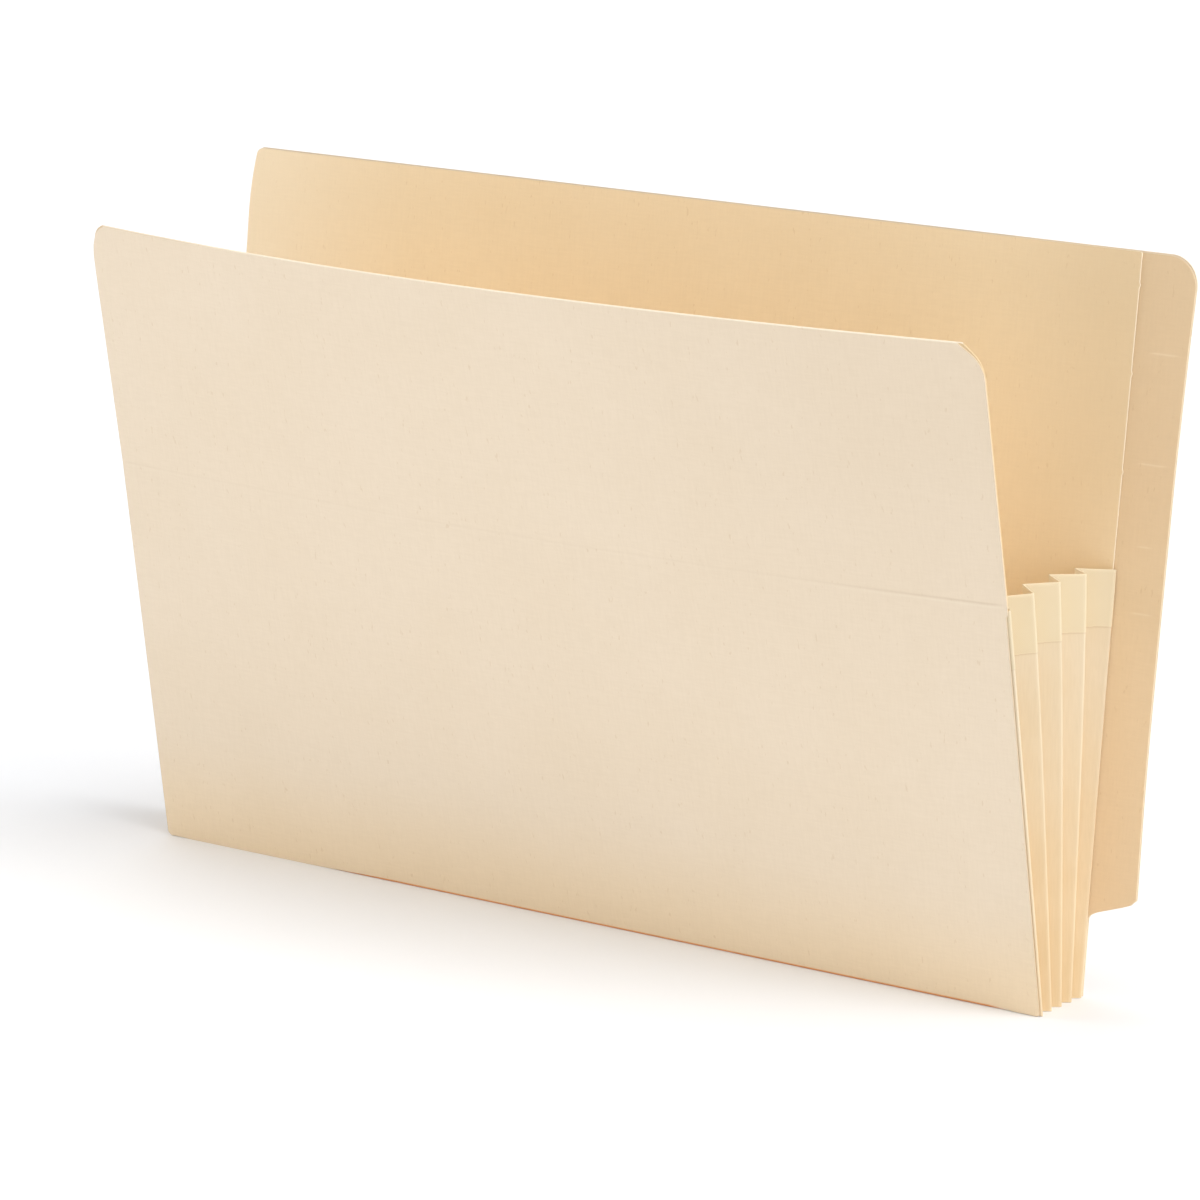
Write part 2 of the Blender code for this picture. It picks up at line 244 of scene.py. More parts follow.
def shell(name, face, back, material, wear_and_light, shade=None):
    """Closed sheet between two grids of the same size: the face, the back turned round, and a strip along
    each of the four borders. The sign of its volume says whether all faces have to be turned. Wear with painted
    highlights and painted light, and painted shade, are pairs of grids, for the face and the back, that the material
    reads."""
    rows, columns = face.shape[:2]
    count = rows * columns
    points = np.concatenate([face.reshape(-1, 3), back.reshape(-1, 3)])
    ring = np.arange(count).reshape(rows, columns)
    loop = np.concatenate([ring[0, :-1], ring[:-1, -1], ring[-1, :0:-1], ring[:0:-1, 0]])
    after = np.roll(loop, -1)
    quads = np.concatenate([
        grid_faces(rows, columns, 0),
        grid_faces(rows, columns, count)[:, ::-1],
        np.stack([loop, loop + count, after + count, after], -1),
    ])
    a, b, c, d = (points[quads[:, i]] for i in range(4))
    volume = np.sum(a * np.cross(b, c)) + np.sum(a * np.cross(c, d))
    quads = quads if volume > 0 else quads[:, ::-1]
    mesh = bpy.data.meshes.new(name)
    mesh.vertices.add(len(points))
    mesh.vertices.foreach_set("co", points.astype(np.float32).ravel())
    mesh.loops.add(quads.size)
    mesh.loops.foreach_set("vertex_index", quads.astype(np.int32).ravel())
    mesh.polygons.add(len(quads))
    mesh.polygons.foreach_set("loop_start", np.arange(0, quads.size, 4, dtype=np.int32))
    mesh.polygons.foreach_set("use_smooth", np.ones(len(quads), dtype=bool))
    mesh.update(calc_edges=True)
    if mesh.validate():
        raise RuntimeError(f"{name} has faces that cannot be used")
    mesh.set_sharp_from_angle(angle=SHARP_EDGE)
    for label, pair in (("wear_and_light", wear_and_light), ("shade", shade)):
        if pair is not None:
            values = np.concatenate([np.broadcast_to(part, (rows, columns)).ravel() for part in pair])
            layer = mesh.attributes.new(label, "FLOAT", "POINT")
            layer.data.foreach_set("value", values.astype(np.float32))
    mesh.materials.append(material)
    piece = bpy.data.objects.new(name, mesh)
    bpy.context.scene.collection.objects.link(piece)
    return piece


# Columns on each leg of a folded strip and round its arc, and how close the legs come to the arc.
LEG_COLUMNS, ARC_COLUMNS = 5, 9
LEG_NEAR = 0.0006


def bend(before, corner, after, radius, offset, near=LEG_NEAR):
    """Folded strip row by row: from before towards the corner, round an arc that touches both legs, and on to
    after. Offset moves it along its own normal, outwards on the outer side of the fold; the legs end near the arc."""
    a, b = before - corner, after - corner
    a_long = np.linalg.norm(a, axis=-1, keepdims=True)
    b_long = np.linalg.norm(b, axis=-1, keepdims=True)
    a, b = a / a_long, b / b_long
    half = 0.5 * np.arccos(np.clip(np.sum(a * b, -1, keepdims=True), -1.0, 1.0))
    middle = a + b
    middle = middle / np.linalg.norm(middle, axis=-1, keepdims=True)
    touch = radius / np.tan(half)
    centre = corner + middle * radius / np.sin(half)
    first = (corner + a * touch - centre) / radius
    last = (corner + b * touch - centre) / radius
    sweep = np.pi - 2.0 * half
    share = np.linspace(0.0, 1.0, ARC_COLUMNS)[None, :, None]
    arc = (np.sin((1 - share) * sweep[:, None]) * first[:, None]
           + np.sin(share * sweep[:, None]) * last[:, None]) / np.sin(sweep)[:, None]
    a_reach = a_long + (touch + near - a_long) * np.linspace(0.0, 1.0, LEG_COLUMNS)
    b_reach = touch + near + (b_long - touch - near) * np.linspace(0.0, 1.0, LEG_COLUMNS)
    leg_a = corner[:, None] + a[:, None] * a_reach[..., None] + first[:, None] * offset
    leg_b = corner[:, None] + b[:, None] * b_reach[..., None] + last[:, None] * offset
    turn_arc = centre[:, None] + arc * (radius + offset)
    return np.concatenate([leg_a, turn_arc, leg_b], 1)


def fold_arc_mask():
    """Mask across a folded strip: one round the arc and nought on the legs. It places worn folds, and the painted
    shade at the bottom strip's folds.
    """
    return np.concatenate([np.zeros(LEG_COLUMNS), np.ones(ARC_COLUMNS), np.zeros(LEG_COLUMNS)])


# --------------------------------------------------------------------------------------------- materials


def add(tree, kind, inputs=None, **settings):
    """Adds a node, sets its properties, and fills its inputs: a socket is linked, a value is set."""
    node = tree.nodes.new(kind)
    for key, value in settings.items():
        setattr(node, key, value)
    for key, value in (inputs or {}).items():
        if isinstance(value, bpy.types.NodeSocket):
            tree.links.new(value, node.inputs[key])
        else:
            node.inputs[key].default_value = value
    return node


def start_material(name):
    """New node material, found again by name if it was made before, with its tree, its shader and the place on
    the object that its patterns read."""
    material = bpy.data.materials.get(name) or bpy.data.materials.new(name)
    material.use_nodes = True
    tree = material.node_tree
    tree.nodes.clear()
    shader = add(tree, "ShaderNodeBsdfPrincipled")
    add(tree, "ShaderNodeOutputMaterial", {"Surface": shader.outputs[0]})
    return material, tree, shader, add(tree, "ShaderNodeTexCoord").outputs["Object"]


def finish_paper(tree, shader, face, bare, rough, bump, ior, specular):
    """Last steps of a paper: bare fibre where it is worn or where a highlight or light is painted, then its colour,
    roughness, relief and gloss.
    """
    worn = add(tree, "ShaderNodeAttribute", attribute_name="wear_and_light")
    final = add(tree, "ShaderNodeMix", {
        "Factor": worn.outputs["Fac"], "A": face.outputs["Result"], "B": bare}, data_type="RGBA")
    tree.links.new(final.outputs["Result"], shader.inputs["Base Color"])
    tree.links.new(rough.outputs[0], shader.inputs["Roughness"])
    tree.links.new(bump.outputs[0], shader.inputs["Normal"])
    shader.inputs["IOR"].default_value = ior
    shader.inputs["Specular IOR Level"].default_value = specular


def tone(rgb, factor):
    """Colour with each channel scaled and an alpha of one."""
    return tuple(min(1.0, channel * share) for channel, share in zip(rgb, factor)) + (1.0,)


def manila_card(name, base, cut, shade=(0.72, 0.66, 0.58), foot=(1.0, 1.0, 1.0)):
    """Manila card: buff board of long wood and hemp fibre, calendered flat. To the eye: a matt face, a faint
    crossed fibre grain under a millimetre wide, cloudy tone over a few centimetres, a few darker fibres, and
    paler bare fibre where it is cut or worn. Pieces also lay painted highlights, painted light and painted shade
    on it, and a foot tone can lay a painted floor bounce on its lowest part."""
    material, tree, shader, place = start_material(name)
    # Fibre grain 0.7 mm wide and 6 mm long, one set upright and one level. Real fibre is finer than a pixel.
    upright = add(tree, "ShaderNodeMapping", {"Vector": place, "Scale": (1 / 0.0007, 1 / 0.006, 1 / 0.006)})
    level = add(tree, "ShaderNodeMapping", {"Vector": place, "Scale": (1 / 0.006, 1 / 0.006, 1 / 0.0007)})
    warp = add(tree, "ShaderNodeTexNoise", {"Vector": upright.outputs[0], "Scale": 1.0, "Detail": 2.0})
    weft = add(tree, "ShaderNodeTexNoise", {"Vector": level.outputs[0], "Scale": 1.0, "Detail": 2.0})
    grain = add(tree, "ShaderNodeMath", {0: warp.outputs[0], 1: weft.outputs[0]}, operation="ADD")
    cloud = add(tree, "ShaderNodeTexNoise", {"Vector": place, "Scale": 1 / 0.045, "Detail": 3.0})
    fleck_place = add(tree, "ShaderNodeMapping", {"Vector": place, "Scale": (1 / 0.0011, 1 / 0.004, 1 / 0.0028)})
    fleck = add(tree, "ShaderNodeTexNoise", {"Vector": fleck_place.outputs[0], "Scale": 1.0, "Detail": 1.0})
    clouds = add(tree, "ShaderNodeMapRange", {
        "Value": cloud.outputs[0], "From Min": 0.35, "From Max": 0.65})
    body = add(tree, "ShaderNodeMix", {
        "Factor": clouds.outputs[0], "A": tone(base, (0.993, 0.989, 0.981)), "B": tone(base, (1.005, 1.007, 1.012)),
    }, data_type="RGBA")
    grains = add(tree, "ShaderNodeMapRange", {
        "Value": grain.outputs[0], "From Min": 0.75, "From Max": 1.25})
    fibred = add(tree, "ShaderNodeMix", {
        "Factor": grains.outputs[0], "A": (0.985, 0.98, 0.972, 1), "B": (1.012, 1.012, 1.012, 1)}, data_type="RGBA")
    grained = add(tree, "ShaderNodeMix", {
        "Factor": 1.0, "A": body.outputs["Result"], "B": fibred.outputs["Result"],
    }, data_type="RGBA", blend_type="MULTIPLY")
    flecks = add(tree, "ShaderNodeMapRange", {
        "Value": fleck.outputs[0], "From Min": 0.70, "From Max": 0.78, "To Max": 0.35})
    flecked = add(tree, "ShaderNodeMix", {
        "Factor": flecks.outputs[0], "A": grained.outputs["Result"], "B": tone(base, (0.80, 0.72, 0.60)),
    }, data_type="RGBA")
    # Painted floor bounce and shade: the lowest 45 mm take on the tone of the foot.
    split = add(tree, "ShaderNodeSeparateXYZ", {"Vector": place})
    low = add(tree, "ShaderNodeMapRange", {
        "Value": split.outputs["Z"], "From Min": 0.045, "From Max": 0.0}, interpolation_type="SMOOTHSTEP")
    footed = add(tree, "ShaderNodeMix", {
        "Factor": low.outputs[0], "A": flecked.outputs["Result"], "B": (*foot, 1.0),
    }, data_type="RGBA", blend_type="MULTIPLY")
    shadow = add(tree, "ShaderNodeAttribute", attribute_name="shade")
    shaded = add(tree, "ShaderNodeMix", {
        "Factor": shadow.outputs["Fac"], "A": footed.outputs["Result"], "B": tone(base, shade),
    }, data_type="RGBA")
    rough = add(tree, "ShaderNodeMapRange", {
        "Value": cloud.outputs[0], "From Min": 0.3, "From Max": 0.7, "To Min": 0.70, "To Max": 0.82})
    fine = add(tree, "ShaderNodeTexNoise", {"Vector": place, "Scale": 1 / 0.0006, "Detail": 2.0})
    relief = add(tree, "ShaderNodeMath", {0: grain.outputs[0], 1: fine.outputs[0]}, operation="ADD")
    bump = add(tree, "ShaderNodeBump", {"Height": relief.outputs[0], "Strength": 0.12, "Distance": 0.00006})
    finish_paper(tree, shader, shaded, tone(cut, (1, 1, 1)), rough, bump, 1.45, 0.25)
    return material


def gusset_paper(name, base, cut):
    """Gusset paper: smooth long-fibre kraft dyed to match the card, made to fold many times. To the eye: finer
    and warmer than the card, with fibre drawn out along the height, and folds worn pale."""
    material, tree, shader, place = start_material(name)
    # Machine-direction fibre 0.6 mm wide and 8 mm long along the height.
    along = add(tree, "ShaderNodeMapping", {"Vector": place, "Scale": (1 / 0.0006, 1 / 0.0006, 1 / 0.008)})
    fibre = add(tree, "ShaderNodeTexNoise", {"Vector": along.outputs[0], "Scale": 1.0, "Detail": 2.0})
    cloud = add(tree, "ShaderNodeTexNoise", {"Vector": place, "Scale": 1 / 0.022, "Detail": 3.0})
    clouds = add(tree, "ShaderNodeMapRange", {
        "Value": cloud.outputs[0], "From Min": 0.35, "From Max": 0.65})
    body = add(tree, "ShaderNodeMix", {
        "Factor": clouds.outputs[0], "A": tone(base, (0.985, 0.97, 0.94)), "B": tone(base, (1.01, 1.015, 1.03)),
    }, data_type="RGBA")
    streaks = add(tree, "ShaderNodeMapRange", {
        "Value": fibre.outputs[0], "From Min": 0.35, "From Max": 0.65})
    streak = add(tree, "ShaderNodeMix", {
        "Factor": streaks.outputs[0], "A": (0.985, 0.98, 0.97, 1), "B": (1.012, 1.012, 1.012, 1)},
        data_type="RGBA")
    streaked = add(tree, "ShaderNodeMix", {
        "Factor": 1.0, "A": body.outputs["Result"], "B": streak.outputs["Result"],
    }, data_type="RGBA", blend_type="MULTIPLY")
    # Warmer towards the foot of the 139 mm tall pleats, paler towards the mouth.
    split = add(tree, "ShaderNodeSeparateXYZ", {"Vector": place})
    climb = add(tree, "ShaderNodeMapRange", {
        "Value": split.outputs["Z"], "From Min": 0.0, "From Max": 0.139}, interpolation_type="SMOOTHSTEP")
    height_tone = add(tree, "ShaderNodeMix", {
        "Factor": climb.outputs[0], "A": (1.02, 0.965, 0.87, 1), "B": (0.99, 1.025, 1.09, 1)}, data_type="RGBA")
    toned = add(tree, "ShaderNodeMix", {
        "Factor": 1.0, "A": streaked.outputs["Result"], "B": height_tone.outputs["Result"],
    }, data_type="RGBA", blend_type="MULTIPLY")
    shadow = add(tree, "ShaderNodeAttribute", attribute_name="shade")
    shaded = add(tree, "ShaderNodeMix", {
        "Factor": shadow.outputs["Fac"], "A": toned.outputs["Result"], "B": tone(base, (0.86, 0.82, 0.78)),
    }, data_type="RGBA")
    rough = add(tree, "ShaderNodeMapRange", {
        "Value": cloud.outputs[0], "From Min": 0.3, "From Max": 0.7, "To Min": 0.60, "To Max": 0.74})
    bump = add(tree, "ShaderNodeBump", {"Height": fibre.outputs[0], "Strength": 0.2, "Distance": 0.00006})
    finish_paper(tree, shader, shaded, tone(cut, (1, 1, 1)), rough, bump, 1.45, 0.25)
    return material


def woven_tape(name, base, cut):
    """Reinforcing tape: gummed cotton tape in a plain weave, pressed over the top edge of the gusset. To the
    eye: paler and yellower than the paper, with a fine crossed thread and a dry, matt face."""
    material, tree, shader, place = start_material(name)
    # Threads 0.45 mm apart are below a pixel at this distance, so they are drawn 0.8 mm apart.
    thread = 0.0008
    turns = 2.0 * np.pi / thread
    split = add(tree, "ShaderNodeSeparateXYZ", {"Vector": place})
    run = add(tree, "ShaderNodeMath", {0: split.outputs["X"], 1: split.outputs["Y"]}, operation="ADD")
    phase_a = add(tree, "ShaderNodeMath", {0: run.outputs[0], 1: turns}, operation="MULTIPLY")
    phase_b = add(tree, "ShaderNodeMath", {0: split.outputs["Z"], 1: turns}, operation="MULTIPLY")
    wave_a = add(tree, "ShaderNodeMath", {0: phase_a.outputs[0]}, operation="SINE")
    wave_b = add(tree, "ShaderNodeMath", {0: phase_b.outputs[0]}, operation="SINE")
    weave = add(tree, "ShaderNodeMath", {0: wave_a.outputs[0], 1: wave_b.outputs[0]}, operation="MULTIPLY")
    cloud = add(tree, "ShaderNodeTexNoise", {"Vector": place, "Scale": 1 / 0.006, "Detail": 3.0})
    uneven = add(tree, "ShaderNodeMath", {0: weave.outputs[0], 1: cloud.outputs[0]}, operation="MULTIPLY")
    threads = add(tree, "ShaderNodeMapRange", {
        "Value": uneven.outputs[0], "From Min": -0.6, "From Max": 0.6})
    body = add(tree, "ShaderNodeMix", {
        "Factor": threads.outputs[0], "A": tone(base, (0.96, 0.95, 0.92)), "B": tone(base, (1.02, 1.02, 1.04)),
    }, data_type="RGBA")
    clouds = add(tree, "ShaderNodeMapRange", {
        "Value": cloud.outputs[0], "From Min": 0.3, "From Max": 0.7, "To Min": 0.0, "To Max": 0.3})
    mottled = add(tree, "ShaderNodeMix", {
        "Factor": clouds.outputs[0], "A": body.outputs["Result"], "B": tone(base, (0.97, 0.95, 0.9)),
    }, data_type="RGBA")
    rough = add(tree, "ShaderNodeMapRange", {
        "Value": cloud.outputs[0], "From Min": 0.3, "From Max": 0.7, "To Min": 0.78, "To Max": 0.9})
    bump = add(tree, "ShaderNodeBump", {"Height": uneven.outputs[0], "Strength": 0.25, "Distance": 0.00005})
    finish_paper(tree, shader, mottled, tone(cut, (1, 1, 0.96)), rough, bump, 1.5, 0.2)
    return material


# Painted floor bounce and shade on the outer card towards its foot: warmer and a little darker.
FOOT_BOUNCE_TONE = (1.03, 0.975, 0.87)


def card_outside(paint):
    return manila_card("manila_card_outside", paint.outside, paint.cut, foot=FOOT_BOUNCE_TONE)


def card_inside(paint):
    return manila_card("manila_card_inside", paint.inside, paint.cut)


def card_tab(paint):
    return manila_card("manila_card_tab", paint.tab, paint.cut)


# ------------------------------------------------------------------------------------------ front panel


# Right top corner of the front: how far the edge runs in, by the height above the start of the corner. It is a
# round that meets the top edge at a slant.
FRONT_CORNER = np.array([
    [0.0, 0.0], [0.0012, 0.00006], [0.0024, 0.00026], [0.0040, 0.0008], [0.0050, 0.0012], [0.0060, 0.0017],
    [0.0069, 0.0023], [0.0077, 0.0030], [0.0085, 0.0038], [0.0092, 0.0047], [0.0098, 0.0054], [0.0118, 0.0078]])
# Left top corner in the same way: a longer, softer round.
FRONT_LEFT_CORNER = np.array([
    [0.0, 0.0], [0.0030, 0.0003], [0.0058, 0.0009], [0.0072, 0.0015], [0.0084, 0.0021], [0.0101, 0.0031],
    [0.0110, 0.0039], [0.0118, 0.0050], [0.0125, 0.0063], [0.0131, 0.0078]])
# Right shoulder where the panel stands clear of the gusset, and the heights from the score between which it comes out.
SHOULDER, SHOULDER_BAND = 0.0006, (-0.0042, -0.0030)
# Heights from the score between which a ply that stops short comes out to its full width.
FULL_WIDTH_BAND = (-0.002, 0.001)
# Gap at the right end, slope of the left edge, and rounds at the left and right foot.
RIGHT_GAP, LEFT_SLOPE, LEFT_FOOT_ROUND, RIGHT_FOOT_ROUND = 0.0003, 0.0015, 0.002, 0.001
# The inner ply: the share of the corners' rounds that it has, and how far it stops short below the score.
INNER_ROUND, INNER_INSET = 0.8, 0.0008
FRONT_COLUMNS, TOP_FOLD_ROWS = 84, 9

# Score: width and depth of the crease, and how far below it the painted highlight of its raised lip lies. Then how
# hard it is pressed everywhere, and how much harder towards the right and left ends, with the x between which that
# grows.
SCORE_WIDTH, SCORE_DEPTH, SCORE_LIP = 0.00035, 0.0001, 0.0009
SCORE_PRESS, RIGHT_PRESS, LEFT_PRESS = 0.12, (0.60, 0.10, 0.17), (0.15, 0.15, 0.18)
# The crease stops short of the side edges between these distances, and the panel bends this far about the score.
SCORE_ENDS, SCORE_REACH = (0.001, 0.004), 0.0035

# Foot of the outer ply: its rise at the left end, what is added to it, and the x between which that grows. The rise
# ends between these distances from its middle. The inner ply rises evenly; both rises die out over the lowest band.
LIFT_LEFT, LIFT_MORE, LIFT_SPAN = -0.00012, 0.00092, (-0.12, -0.07)
LIFT_MIDDLE, LIFT_ENDS = -0.001, (0.1735, 0.1740)
INNER_LIFT, FOOT_BAND = 0.0005, 0.004

# Painted shade in the crease, at the cut side edges, and over the right top quarter with the x and heights where it
# grows.
CREASE_SHADE, SIDE_SHADE = 0.55, 0.55
RIGHT_TOP_SHADE, RIGHT_TOP_SHADE_ACROSS, RIGHT_TOP_SHADE_UP = 0.14, (0.0, 0.18), (0.08, 0.20)
# Painted highlight on the crease's lip. The folded top edge is pale with wear and a painted highlight to the right of
# TOP_SPAN, and has painted shade to the left of it.
LIP_HIGHLIGHT, TOP_WEAR_AND_HIGHLIGHT, TOP_SHADE, TOP_SPAN = 0.35, 0.5, 0.3, (-0.14, -0.09)
# Painted shade of the inner ply: in the crease, at the side edges, and on the glued face.
INNER_CREASE_SHADE, INNER_SIDE_SHADE, GLUED_SHADE = 0.3, 0.75, 0.7


def front_rows(size):
    """Heights of the front panel's rows: close at the foot, the score and the rounded corners."""
    score, top = size.score_height, size.front_height
    arc = FRONT_CORNER[-1, 0] * (1.0 - np.sin(np.linspace(0.0, np.pi / 2, 18)))
    foot = LEFT_FOOT_ROUND * (1.0 - np.cos(np.linspace(0.0, np.pi / 2, 6)))
    return np.unique(np.round(np.concatenate([
        foot, [RIM], np.arange(0.005, score - 0.006, 0.006), score + np.linspace(-0.005, 0.005, 31),
        np.arange(score + 0.009, top - 0.014, 0.006), top - arc, [top - RIM],
    ]), 6))


def score_mark(size, x, height):
    """Creased score: a bell across the line, stronger towards the right end, where the fold has been worked."""
    half = size.body_width / 2
    right, left = (share * smooth(way * x, start, end)
                   for way, (share, start, end) in ((1.0, RIGHT_PRESS), (-1.0, LEFT_PRESS)))
    pressed = SCORE_PRESS + right + left
    return bell(height, size.score_height, SCORE_WIDTH) * pressed * smooth(half - np.abs(x), *SCORE_ENDS)


def front_sheet(size, corner, inset, rows):
    """Side edges of a front ply, run in at the rounded corners by the share corner, with the small shoulder on
    the right where the panel stands clear of the gusset. Below the score the ply stops short by inset."""
    half, top, score = size.body_width / 2, size.front_height, size.score_height
    shoulder = SHOULDER * smooth(rows, score + SHOULDER_BAND[0], score + SHOULDER_BAND[1])
    short = inset * (1.0 - smooth(rows, score + FULL_WIDTH_BAND[0], score + FULL_WIDTH_BAND[1]))
    left_in, right_in = (
        np.interp(rows - top + profile[-1, 0], profile[:, 0], profile[:, 1])
        for profile in (FRONT_LEFT_CORNER, FRONT_CORNER))
    left = -half + LEFT_SLOPE * rows + corner * left_in + foot_in(rows, LEFT_FOOT_ROUND) + short
    right = half - RIGHT_GAP + shoulder - corner * right_in - foot_in(rows, RIGHT_FOOT_ROUND) - short
    return left, right


class POCKET_OT_front_panel(bpy.types.Operator):
    """Front panel: one sheet of card folded over at the top, as an outer and an inner ply"""

    bl_idname = "pocket.front_panel"
    bl_label = "Front panel"

    def execute(self, context):
        size, paint = context.scene.pocket_sizes, context.scene.pocket_colours
        rows = front_rows(size)
        top, half_sheet = size.front_height, size.sheet / 2
        outer = front_sheet(size, 1.0, 0.0, rows)
        inner = front_sheet(size, INNER_ROUND, INNER_INSET, rows)

        # The outer ply goes on over the folded top edge, on a half circle that ends at the inner ply.
        turn_up = np.linspace(0.0, np.pi, TOP_FOLD_ROWS)[1:]
        over = turn_up / np.pi
        left, right = (np.concatenate([a, a[-1] * (1 - over) + b[-1] * over]) for a, b in zip(outer, inner))
        x = across(left, right, FRONT_COLUMNS)
        lift = LIFT_LEFT + LIFT_MORE * smooth(x, *LIFT_SPAN)
        lift = lift * (1.0 - smooth(np.abs(x - LIFT_MIDDLE), *LIFT_ENDS))
        grids = []
        for side in (-1.0, 1.0):
            round_top = size.front_step / 2 - side * half_sheet
            height = np.concatenate([rows, top + round_top * np.sin(turn_up)])[:, None]
            depth = np.concatenate([
                np.full(len(rows), side * half_sheet),
                size.front_step / 2 - round_top * np.cos(turn_up)])[:, None]
            height = height + lift * (1.0 - smooth(height, 0.0, FOOT_BAND))
            depth = depth + SCORE_DEPTH * score_mark(size, x, height)
            grids.append(front_point(size, x, height, depth))
        flat = np.concatenate([rows, np.full(len(turn_up), top)])[:, None]
        # Painted shade in the crease, over the right top quarter and on the cut side edges.
        shade = CREASE_SHADE * score_mark(size, x, flat)
        shade = shade + RIGHT_TOP_SHADE * smooth(x, *RIGHT_TOP_SHADE_ACROSS) * smooth(flat, *RIGHT_TOP_SHADE_UP)
        shade[:, [0, -1]] = SIDE_SHADE
        # Painted highlight on the lip below the crease. The folded top edge is worn and has a painted highlight on the
        # right, and painted shade on the left.
        wear_and_light = LIP_HIGHLIGHT * score_mark(size, x, flat + SCORE_LIP)
        folded = len(rows) - 1
        lit = smooth(x[folded:], *TOP_SPAN)
        wear_and_light[folded:] = TOP_WEAR_AND_HIGHLIGHT * lit
        shade[folded:] = TOP_SHADE * (1.0 - lit)
        piece = shell("front_outer_ply", *grids, card_outside(paint), (wear_and_light, wear_and_light), (shade, shade))
        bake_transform(piece)
        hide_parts("front_lower_outer_ply", "front_upper_outer_ply")

        x = across(*inner, FRONT_COLUMNS)
        height = rows[:, None] + INNER_LIFT * (1.0 - smooth(rows[:, None], 0.0, FOOT_BAND))
        mark = score_mark(size, x, height)
        grids = [front_point(size, x, height, size.front_step + side * half_sheet + SCORE_DEPTH * mark)
                 for side in (-1.0, 1.0)]
        # Painted shade on the inner ply's glued face, in its crease and at its side edges.
        wear_and_light, glued, shade = np.zeros(x.shape), np.full(x.shape, GLUED_SHADE), INNER_CREASE_SHADE * mark
        shade[:, [0, -1]] = INNER_SIDE_SHADE
        piece = shell("front_inner_ply", *grids, card_inside(paint), (wear_and_light, wear_and_light), (glued, shade))
        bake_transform(piece)
        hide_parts("front_lower_inner_ply", "front_upper_inner_ply")
        return {"FINISHED"}


# ------------------------------------------------------------------------------------------- back panel


# Right edge of the tab by height: the narrow foot, the curve out below the tab, and the slightly hollow side.
TAB_EDGE = np.array([
    [0.0000, 0.1829], [0.0252, 0.1829], [0.0260, 0.1830], [0.0268, 0.1835], [0.0275, 0.1846], [0.0281, 0.1858],
    [0.0296, 0.1903], [0.0312, 0.1951], [0.0324, 0.1982], [0.0334, 0.1992], [0.0344, 0.20035], [0.0358, 0.2004],
    [0.0441, 0.2003], [0.0537, 0.2002], [0.0663, 0.20008], [0.0790, 0.20008], [0.0917, 0.20016], [0.1170, 0.20054],
    [0.1680, 0.20143], [0.1806, 0.20178], [0.1930, 0.20220], [0.2060, 0.20268], [0.2187, 0.20320], [0.2280, 0.20375],
    [0.2404, 0.2042]])
# Round of the tab's top corner, left edge of the ply that stiffens the tab, how far that ply stops short at the right
# edge, and the heights between which it does so from the foot of the tab on.
TAB_ROUND, TAB_LEFT, TAB_INSET, TAB_START = 0.0103, 0.1340, 0.0001, (0.0255, 0.030)
# Faint label ticks across the tab: height, left end and right end, then their width, their soft ends and their depth.
TAB_TICKS = ((0.2100, 0.1892, 0.2002), (0.1745, 0.1877, 0.1991), (0.1480, 0.1891, 0.1961), (0.1265, 0.1897, 0.1974))
TICK_WIDTH, TICK_END, TICK_DEPTH = 0.0003, 0.001, 0.00008

# Left edge of the back plies: its x, how far it is drawn in at the top, from which height and over how much, and the
# rounds at its top and foot.
BACK_LEFT, LEFT_DRAWN, DRAWN_FROM, DRAWN_OVER = -0.1861, 0.0026, 0.218, 0.024
LEFT_TOP_ROUND, LEFT_FOOT_CORNER = 0.002, 0.0015
# Cut right edge of the inner ply: its x at a height, its slope, the round at its top, its x behind the gusset and the
# heights between which it changes. Small nicks stand out of the cut at these heights, by this depth and width.
CUT_X, CUT_AT, CUT_SLOPE, CUT_ROUND = 0.1821, 0.140, 0.0135, 0.0006
CUT_LOW, CUT_CHANGE = 0.1828, (0.125, 0.136)
CUT_NICKS, NICK_DEPTH, NICK_WIDTH = (0.2310, 0.2026, 0.1710), 0.00035, 0.0007
# How much lower than the outer sheet the inner ply and the tab's ply end, and the height of the close rows at the
# inner ply's top corners.
INNER_DROP, TAB_DROP, INNER_CORNER = 0.0004, 0.0006, 0.008
INNER_COLUMNS, TAB_COLUMNS, SHEET_COLUMNS = 84, 30, 90

# Wear at the rims of the inner ply, the tab's ply and the outer sheet, and of the ticks. Painted light makes the inner
# ply paler towards the left end, between these x.
INNER_RIM, TAB_RIM, SHEET_RIM, TICK_WEAR = 0.8, 0.15, 0.25, 0.2
LEFT_PAINTED_LIGHT, LEFT_PAINTED_LIGHT_SPAN = 0.3, (-0.186, -0.09)
# Painted shade of the inner ply towards the tab: its strength, the x between which it grows, the share of it that is
# there low down, and the heights between which the rest is added. Painted shade on the tab grows between its two
# heights.
TAB_SIDE_SHADE, TAB_SIDE_SPAN = 0.45, (0.12, 0.182)
LOW_SHARE, LOW_BAND = 0.4, (0.13, 0.18)
TAB_SHADE, TAB_SHADE_BAND = 0.22, (0.05, 0.20)


def back_left(height, top):
    """Left edge of the back plies: upright, drawn in by a parabola over the last stretch, with a small round."""
    drawn = np.clip((height - DRAWN_FROM) / DRAWN_OVER, 0.0, 1.0)
    rounds = corner_in(height, top, LEFT_TOP_ROUND), foot_in(height, LEFT_FOOT_CORNER)
    return BACK_LEFT + LEFT_DRAWN * drawn ** 2 + rounds[0] + rounds[1]


def tab_right(height, top, inset):
    """Right edge of the tab: the edge by height, run in at a quarter circle at the top."""
    edge = np.interp(height, TAB_EDGE[:, 0], TAB_EDGE[:, 1])
    return edge - inset * smooth(height, *TAB_START) - corner_in(height, top, TAB_ROUND)


